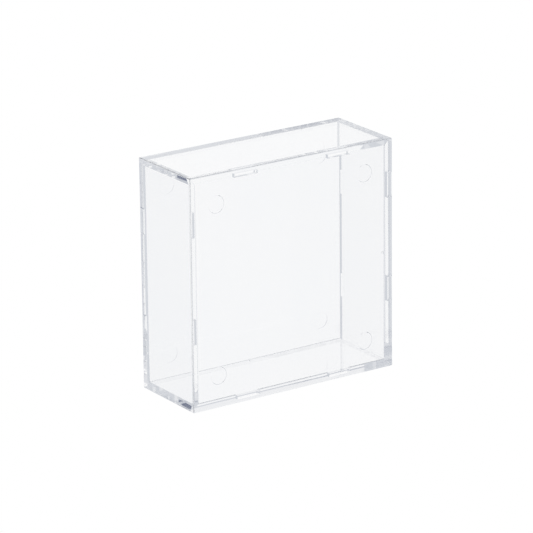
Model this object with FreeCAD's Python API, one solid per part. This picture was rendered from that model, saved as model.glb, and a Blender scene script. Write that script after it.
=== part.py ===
import FreeCAD, Part
import math
import os

# A clear square display case for a flat round collectible, in millimetres.
#
# It is two mouldings. Each half is a square plate with a side wall along two opposite edges, like
# a wide U. The halves close on each other front to back, turned a quarter turn apart, so that the
# front half's walls are the left and right sides of the box and the back half's walls are its top
# and bottom. The walls meet at 45 degree mitres along the four edges that run front to back. Each
# plate is as large as the face of the case and covers the rims of the other half's walls. Short
# tongues on the rims of the back half's walls sit in slots through the front plate, and tabs on the
# rims of the front half's walls sit in notches in the back plate's left and right edges.
#
# Both halves are modelled in the front half's place, about the centre of the case, +X to the right, +Y to the back and +Z up,
# and are lifted at the end so that the origin is the middle of the face that the case stands on.

# Driving dimensions
case_side = 82.55  # outer width and outer height, which are one size because the halves are alike
case_depth = 31.75  # outer depth, from the front face to the back face
wall = 2.6  # thickness of each side wall
plate = 2.4  # thickness of each plate

# Fits and edges
fit_gap = 0.08  # clearance wherever one half sits in the other
outer_edge_radius = 0.4  # on the edges of the closed box
moulded_corner_radius = 0.3  # inside the corner between a plate and its own walls
rim_edge_radius = 0.35  # on the inner edge of each wall's rim, which leads the halves together

# Tongues on the rims of the back half's walls, and the slots in the front plate that hold them
tongue_width = 8.7  # along the rim
tongue_height = 1.3  # how far it stands off the rim, short of the plate's outer face
tongue_offset = 19.0  # from the middle of the rim to the middle of a tongue
slot_end_gap = 0.3  # room past each end of a tongue in its slot
slot_web = 1.35  # plastic between a slot and the edge of its plate

# Tabs on the rims of the front half's walls, and the notches in the back plate's edges for them
tab_width = 8.7  # along the rim
tab_thickness = 1.25  # from the outside of the case inwards
tab_offset = 19.0  # from the middle of the rim to the middle of a tab
notch_end_gap = 0.3  # room past each end of a tab in its notch

# Marks that moulding leaves on the inner faces
ejector_diameter = 6.35
ejector_depth = 0.15
ejector_edge = 0.2  # width of the slope around a mark
ejector_inset = 11.0  # from the case's outer faces to the middle of a mark
gate_radius = 0.5
gate_height = 0.3  # how far the gate's stub stands off the wall

# Places that follow from the sizes above, measured from the centre of the case
outside = case_side / 2
inside = outside - wall
front_face = -case_depth / 2
back_face = case_depth / 2
plate_inner_face = front_face + plate
far_plate_seat = back_face - plate - fit_gap  # where a wall stops for the other half's plate
far = case_side + case_depth  # further than any face, for cuts that run right through


def block(x_range, y_range, z_range):
    """A box between two places along each axis."""
    size = [high - low for low, high in (x_range, y_range, z_range)]
    corner = FreeCAD.Vector(x_range[0], y_range[0], z_range[0])
    return Part.makeBox(*size, corner)


def closed_box():
    """The outer shape of the closed case, with its edges rounded."""
    box = block((-outside, outside), (front_face, back_face), (-outside, outside))
    return box.makeFillet(outer_edge_radius, box.Edges)


def channel():
    """The space behind the plate and between the walls, open at the back, top and bottom."""
    space = block((-inside, inside), (plate_inner_face, far), (-far, far))
    corners = [edge for edge in space.Edges if is_moulded_corner(edge)]
    return space.makeFillet(moulded_corner_radius, corners)


def is_moulded_corner(edge):
    """Whether an edge of the channel is where a wall grows out of the plate."""
    bounds = edge.BoundBox
    return bounds.YLength < fit_gap and bounds.XLength < fit_gap and bounds.YMax < 0


def mitre_wedge(side):
    """The part of space that belongs to the left (-1) or right (+1) wall, up to both mitres."""
    tip = side * fit_gap / math.sqrt(2)  # leaves the fit gap between the two mitre faces
    edge = side * far
    outline = [
        FreeCAD.Vector(tip, -far, 0),
        FreeCAD.Vector(tip + edge, -far, -far),
        FreeCAD.Vector(tip + edge, -far, far),
        FreeCAD.Vector(tip, -far, 0),
    ]
    return Part.Face(Part.makePolygon(outline)).extrude(FreeCAD.Vector(0, 2 * far, 0))


def plate_room():
    """The part of space that the plate fills: the whole face of the case."""
    return block((-outside, outside), (front_face, plate_inner_face), (-outside, outside))


def plate_and_walls():
    """The plate with its two plain walls, each with a rounded inner edge on its rim."""
    room = mitre_wedge(-1).fuse([mitre_wedge(1), plate_room()])
    beyond_rims = block((-far, far), (far_plate_seat, far), (-far, far))
    body = closed_box().cut(channel()).common(room).cut(beyond_rims)
    rim_edges = [edge for edge in body.Edges if is_inner_rim_edge(edge)]
    return body.makeFillet(rim_edge_radius, rim_edges)


def is_inner_rim_edge(edge):
    """Whether an edge is the one between a wall's inner face and its rim."""
    bounds = edge.BoundBox
    on_rim = abs(bounds.YMin - far_plate_seat) < fit_gap and bounds.YLength < fit_gap
    on_inner_face = abs(abs(bounds.XMin) - inside) < fit_gap and bounds.XLength < fit_gap
    return on_rim and on_inner_face


def tongue(x_side, z_side):
    """One tongue on the rim of the left or right wall, flush with the wall's inner face."""
    middle = z_side * tongue_offset
    low = inside
    high = outside - slot_web - fit_gap
    x_range = (low, high) if x_side > 0 else (-high, -low)
    root = far_plate_seat - wall  # starts inside the wall, so that the two are one solid
    y_range = (root, far_plate_seat + tongue_height)
    return block(x_range, y_range, (middle - tongue_width / 2, middle + tongue_width / 2))


def slot(x_side, z_side):
    """One slot through the plate near its upper or lower edge."""
    middle = x_side * tongue_offset
    reach = tongue_width / 2 + slot_end_gap
    low = inside - fit_gap
    high = outside - slot_web
    z_range = (low, high) if z_side > 0 else (-high, -low)
    return block((middle - reach, middle + reach), (-far, plate_inner_face + fit_gap), z_range)


def tab(x_side, z_side):
    """One tab on the rim of the left or right wall, flush with the outside of the case."""
    middle = z_side * tab_offset
    low = outside - tab_thickness
    x_range = (low, outside) if x_side > 0 else (-outside, -low)
    root = far_plate_seat - wall  # starts inside the wall, so that the two are one solid
    bar = block(x_range, (root, back_face), (middle - tab_width / 2, middle + tab_width / 2))
    return bar.common(closed_box())


def notch(x_side, z_side):
    """One notch in the plate's upper or lower edge."""
    middle = x_side * tab_offset
    reach = tab_width / 2 + notch_end_gap
    low = outside - tab_thickness - fit_gap
    z_range = (low, far) if z_side > 0 else (-far, -low)
    return block((middle - reach, middle + reach), (-far, plate_inner_face + fit_gap), z_range)


def ejector_mark(x_side, z_side):
    """A shallow round recess in the plate's inner face, with a sloping edge."""
    place = outside - ejector_inset
    centre = FreeCAD.Vector(x_side * place, plate_inner_face - ejector_depth, z_side * place)
    mouth = ejector_diameter / 2
    return Part.makeCone(mouth - ejector_edge, mouth, ejector_depth, centre, FreeCAD.Vector(0, 1, 0))


def gate_stub():
    """What is left of the gate: a low round stub on the right wall, halfway up beside the plate."""
    middle = plate_inner_face + moulded_corner_radius + gate_radius
    foot = inside + moulded_corner_radius  # starts inside the wall, so that the two are one solid
    length = gate_height + moulded_corner_radius
    return Part.makeCylinder(gate_radius, length, FreeCAD.Vector(foot, middle, 0), FreeCAD.Vector(-1, 0, 0))


def at_four_places(make):
    """One of a feature at each of its four places."""
    return [make(x_side, z_side) for x_side in (-1, 1) for z_side in (-1, 1)]


def half(additions, cuts):
    """One moulding, with the features that its half has, in the front half's place."""
    body = plate_and_walls()
    for make in additions:
        body = body.fuse(at_four_places(make))
    for make in cuts:
        body = body.cut(at_four_places(make))
    body = body.cut(at_four_places(ejector_mark))
    return body.fuse(gate_stub()).removeSplitter()


def turned(shape):
    """A moulding moved to the back half's place: half a turn about a diagonal of the plate."""
    copy = shape.copy()
    copy.rotate(FreeCAD.Vector(0, 0, 0), FreeCAD.Vector(1, 0, -1), 180)
    return copy


def write(node, shape):
    """Stand the piece on the case's base and write it as one STEP file."""
    placed = shape.copy()
    placed.translate(FreeCAD.Vector(0, 0, outside))
    placed.exportStep(f"parts/{node}.step")
    print(node, "solids", len(placed.Solids), "valid", placed.isValid(), "volume", round(placed.Volume, 1))


os.makedirs("parts", exist_ok=True)
write("front_half", half(additions=[tab], cuts=[slot]))
write("back_half", turned(half(additions=[tongue], cuts=[notch])))
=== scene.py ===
import math

import bpy
from mathutils import Matrix, Vector


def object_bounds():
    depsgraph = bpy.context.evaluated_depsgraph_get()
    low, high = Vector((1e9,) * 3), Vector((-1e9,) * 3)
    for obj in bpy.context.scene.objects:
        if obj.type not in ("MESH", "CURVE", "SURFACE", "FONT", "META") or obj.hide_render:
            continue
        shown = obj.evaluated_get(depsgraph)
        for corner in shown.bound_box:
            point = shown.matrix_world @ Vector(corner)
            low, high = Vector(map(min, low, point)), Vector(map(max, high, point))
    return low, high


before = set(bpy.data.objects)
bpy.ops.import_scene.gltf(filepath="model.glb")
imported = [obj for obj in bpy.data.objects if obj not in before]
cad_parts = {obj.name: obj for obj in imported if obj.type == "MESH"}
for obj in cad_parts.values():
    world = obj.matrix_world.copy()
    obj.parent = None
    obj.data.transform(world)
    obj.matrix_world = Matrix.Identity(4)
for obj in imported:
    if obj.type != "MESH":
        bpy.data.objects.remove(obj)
cad_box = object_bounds()

# The camera stands in front of the case's left side and looks down on it.
CAMERA_AZIMUTH = math.radians(-33.97)
CAMERA_ELEVATION = math.radians(18.23)
CAMERA_ROLL = math.radians(-0.65)
CAMERA_DISTANCE = 15.69  # in widths of the case
CAMERA_RIGHT = -0.00484  # how far the camera is set to its right, in widths of the case
CAMERA_UP = -0.01421  # how far it is set up, in widths of the case
SENSOR_WIDTH = 36.0  # millimetres, as is the focal length
FOCAL_LENGTH = 255.4
CAMERA_REACH = 100.0  # the furthest thing that the camera shows, in metres

# The case is lit from all around. The room is white behind the case and darkest around the camera.
# Each stop is a place on the way round from the backdrop (0) to the camera (1), and the light there.
# The grey was chosen for the photograph's view, so the case looks greyer from the sides and back.
ROOM_STOPS = [
    (0.04, (1.0, 1.0, 1.0, 1.0)),
    (0.10, (0.92, 0.92, 0.93, 1.0)),
    (0.26, (0.65, 0.67, 0.71, 1.0)),
    (0.74, (0.65, 0.67, 0.71, 1.0)),
    (0.90, (0.60, 0.62, 0.66, 1.0)),
    (0.96, (0.25, 0.28, 0.36, 1.0)),
    (1.00, (0.10, 0.12, 0.20, 1.0)),
]

FLOOR_DROP = 0.0002  # the floor is a hair below the case, because the two faces may not coincide
FLOOR_SIZE = 60.0
FLOOR_GLOW = 1.0  # just white

# Light passes many faces inside the clear walls before it leaves them.
MOST_BOUNCES = 200
MOST_TRANSPARENT_BOUNCES = 64

# Clear polystyrene, as it comes out of a polished mould. Patches are counted per metre, and a range
# is the part of the noise over which one look turns into the other.
PLASTIC_IOR = 1.59
PLASTIC_TINT_DEEP = (0.993, 0.996, 1.0, 1.0)
PLASTIC_TINT_PALE = (1.0, 1.0, 1.0, 1.0)
TINT_PATCHES = 18.0
TINT_DETAIL = 2.0
TINT_RANGE = (0.35, 0.65)
ROUGHNESS_POLISHED = 0.0
ROUGHNESS_HANDLED = 0.05
POLISH_PATCHES = 260.0
POLISH_DETAIL = 4.0
POLISH_RANGE = (0.45, 0.75)
WAVE_PATCHES = 45.0
WAVE_DETAIL = 1.0
WAVE_HEIGHT = 0.00003  # metres


def view_direction():
    """The direction from the case to the camera."""
    return Vector((
        math.sin(CAMERA_AZIMUTH) * math.cos(CAMERA_ELEVATION),
        -math.cos(CAMERA_AZIMUTH) * math.cos(CAMERA_ELEVATION),
        math.sin(CAMERA_ELEVATION),
    ))


def make_camera(centre, width):
    """A long lens at the given view of the case, with its centre near the middle of the picture."""
    away = view_direction()
    right = Vector((0, 0, 1)).cross(away).normalized()
    up = away.cross(right)
    turn = Matrix.Rotation(CAMERA_ROLL, 3, away)
    right = turn @ right
    up = turn @ up
    place = centre + width * (CAMERA_DISTANCE * away + CAMERA_RIGHT * right + CAMERA_UP * up)
    data = bpy.data.cameras.new("camera")
    data.sensor_width = SENSOR_WIDTH
    data.lens = FOCAL_LENGTH
    data.clip_end = CAMERA_REACH
    camera = bpy.data.objects.new("camera", data)
    pose = Matrix((right, up, away)).transposed().to_4x4()
    pose.translation = place
    camera.matrix_world = pose
    bpy.context.scene.collection.objects.link(camera)
    bpy.context.scene.camera = camera


def noise(tree, place, patches, detail):
    """A noise texture that is fixed to the piece."""
    node = tree.nodes.new("ShaderNodeTexNoise")
    node.inputs["Scale"].default_value = patches
    node.inputs["Detail"].default_value = detail
    tree.links.new(place, node.inputs["Vector"])
    return node.outputs["Fac"]


def clear_plastic():
    """Clear plastic with faint patches of tint, a slightly handled polish and shallow flow waves."""
    material = bpy.data.materials.new("clear_plastic")
    material.use_nodes = True
    tree = material.node_tree
    shader = tree.nodes["Principled BSDF"]
    shader.inputs["Transmission Weight"].default_value = 1.0
    shader.inputs["IOR"].default_value = PLASTIC_IOR
    place = tree.nodes.new("ShaderNodeTexCoord").outputs["Object"]

    tint = tree.nodes.new("ShaderNodeValToRGB")
    tint.color_ramp.elements[0].position = TINT_RANGE[0]
    tint.color_ramp.elements[0].color = PLASTIC_TINT_DEEP
    tint.color_ramp.elements[1].position = TINT_RANGE[1]
    tint.color_ramp.elements[1].color = PLASTIC_TINT_PALE
    tree.links.new(noise(tree, place, TINT_PATCHES, TINT_DETAIL), tint.inputs["Fac"])
    tree.links.new(tint.outputs["Color"], shader.inputs["Base Color"])

    polish = tree.nodes.new("ShaderNodeMapRange")
    polish.inputs["From Min"].default_value = POLISH_RANGE[0]
    polish.inputs["From Max"].default_value = POLISH_RANGE[1]
    polish.inputs["To Min"].default_value = ROUGHNESS_POLISHED
    polish.inputs["To Max"].default_value = ROUGHNESS_HANDLED
    tree.links.new(noise(tree, place, POLISH_PATCHES, POLISH_DETAIL), polish.inputs["Value"])
    tree.links.new(polish.outputs["Result"], shader.inputs["Roughness"])

    waves = tree.nodes.new("ShaderNodeBump")
    waves.inputs["Distance"].default_value = WAVE_HEIGHT
    waves.inputs["Strength"].default_value = 1.0
    tree.links.new(noise(tree, place, WAVE_PATCHES, WAVE_DETAIL), waves.inputs["Height"])
    tree.links.new(waves.outputs["Normal"], shader.inputs["Normal"])
    return material


def make_floor(centre, base):
    """A white floor that glows evenly, so that nothing casts a shadow on it.

    The case sees the room through it, because a white floor would wash out the walls' edges.
    """
    material = bpy.data.materials.new("floor")
    material.use_nodes = True
    tree = material.node_tree
    tree.nodes.clear()
    glow = tree.nodes.new("ShaderNodeEmission")
    glow.inputs["Strength"].default_value = FLOOR_GLOW
    output = tree.nodes.new("ShaderNodeOutputMaterial")
    tree.links.new(glow.outputs["Emission"], output.inputs["Surface"])
    bpy.ops.mesh.primitive_plane_add(size=FLOOR_SIZE, location=(centre.x, centre.y, base - FLOOR_DROP))
    floor = bpy.context.object
    floor.name = "floor"
    floor.data.materials.append(material)
    floor.visible_transmission = False
    floor.visible_glossy = False


def make_world():
    """A soft room whose brightness depends on how near a direction is to the camera's."""
    world = bpy.data.worlds.new("studio")
    world.use_nodes = True
    bpy.context.scene.world = world
    tree = world.node_tree
    place = tree.nodes.new("ShaderNodeTexCoord")
    nearness = tree.nodes.new("ShaderNodeVectorMath")
    nearness.operation = "DOT_PRODUCT"
    nearness.inputs[1].default_value = view_direction()
    tree.links.new(place.outputs["Generated"], nearness.inputs[0])
    spread = tree.nodes.new("ShaderNodeMapRange")
    spread.inputs["From Min"].default_value = -1.0
    spread.inputs["From Max"].default_value = 1.0
    tree.links.new(nearness.outputs["Value"], spread.inputs["Value"])
    room = tree.nodes.new("ShaderNodeValToRGB")
    ramp = room.color_ramp
    while len(ramp.elements) < len(ROOM_STOPS):
        ramp.elements.new(0.5)
    for element, (position, color) in zip(ramp.elements, ROOM_STOPS):
        element.position = position
        element.color = color
    tree.links.new(spread.outputs["Result"], room.inputs["Fac"])
    tree.links.new(room.outputs["Color"], tree.nodes["Background"].inputs["Color"])


def set_light_paths():
    """Let light follow the whole way through the walls, and keep white as white."""
    cycles = bpy.context.scene.cycles
    cycles.max_bounces = MOST_BOUNCES
    cycles.transmission_bounces = MOST_BOUNCES
    cycles.glossy_bounces = MOST_BOUNCES
    cycles.transparent_max_bounces = MOST_TRANSPARENT_BOUNCES
    bpy.context.scene.view_settings.view_transform = "Standard"


low, high = cad_box
centre = (Vector(low) + Vector(high)) / 2
make_camera(centre, high[0] - low[0])
plastic = clear_plastic()
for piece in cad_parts.values():
    piece.data.materials.clear()
    piece.data.materials.append(plastic)
make_floor(centre, low[2])
make_world()
set_light_paths()
